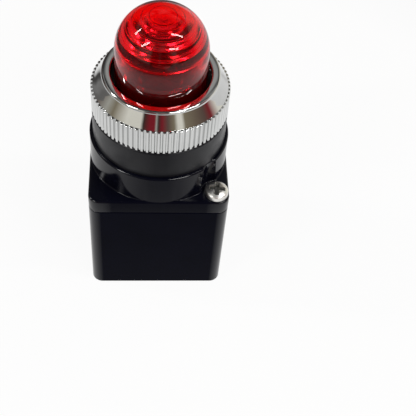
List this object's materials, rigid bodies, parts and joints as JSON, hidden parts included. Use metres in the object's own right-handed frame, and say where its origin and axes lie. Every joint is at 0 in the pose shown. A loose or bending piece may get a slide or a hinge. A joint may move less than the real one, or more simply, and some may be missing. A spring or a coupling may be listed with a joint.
{
  "type": "illuminated push button",
  "caption": "Panel push button with a tall domed red lens that lights up, a knurled chrome bezel, a black spacer ring and a square contact housing with screw terminals.",
  "frame": {"origin": "middle of the housing's back face, which the button stands on", "axes": "+Z along the button's axis towards the lens, -Y towards the plain front face, +X to the right of it"},
  "size_m": [0.0314, 0.0314, 0.0712],
  "materials": {
    "housing_black": "glossy moulded black",
    "spacer_black": "satin black",
    "bezel_chrome": "bright chrome plate",
    "screw_nickel": "nickel plated",
    "lens_red": "clear red, polished",
    "holder_black": "moulded black",
    "spring_steel": "drawn wire",
    "moulding_cream": "moulded cream",
    "contact_copper": "rolled copper alloy",
    "terminal_brass": "pressed brass",
    "insulator_brown": "pressed insulating board",
    "lamp_glass": "clear blown glass"
  },
  "bodies": {
    "housing": {"contact_housing": "housing_black", "operator_body": "housing_black", "panel_spacer": "spacer_black", "bezel_ring": "bezel_chrome", "fixing_screws": "screw_nickel", "return_spring": "spring_steel", "nc_terminal_left": "terminal_brass", "nc_terminal_right": "terminal_brass", "no_terminal_left": "terminal_brass", "no_terminal_right": "terminal_brass", "lamp_terminal_shell": "terminal_brass", "lamp_terminal_tip": "terminal_brass", "terminal_screws": "screw_nickel", "terminal_clamps": "screw_nickel", "lamp_holder": "moulding_cream", "lamp_socket": "terminal_brass", "socket_insulator": "insulator_brown", "centre_contact": "terminal_brass", "lamp_cap": "terminal_brass", "lamp_glass": "lamp_glass"},
    "button": {"lens": "lens_red", "lens_holder": "holder_black", "contact_carrier": "moulding_cream", "nc_bridge": "contact_copper", "no_bridge": "contact_copper", "nc_contact_spring": "spring_steel", "no_contact_spring": "spring_steel"}
  },
  "joints": [
    {"name": "button_press", "type": "slide", "parent": "housing", "child": "button", "axis": [0, 0, -1], "range_m": [0, 0.0035], "stiffness_N_per_m": 700, "springref_m": -0.003, "deforming": ["return_spring"]}
  ]
}
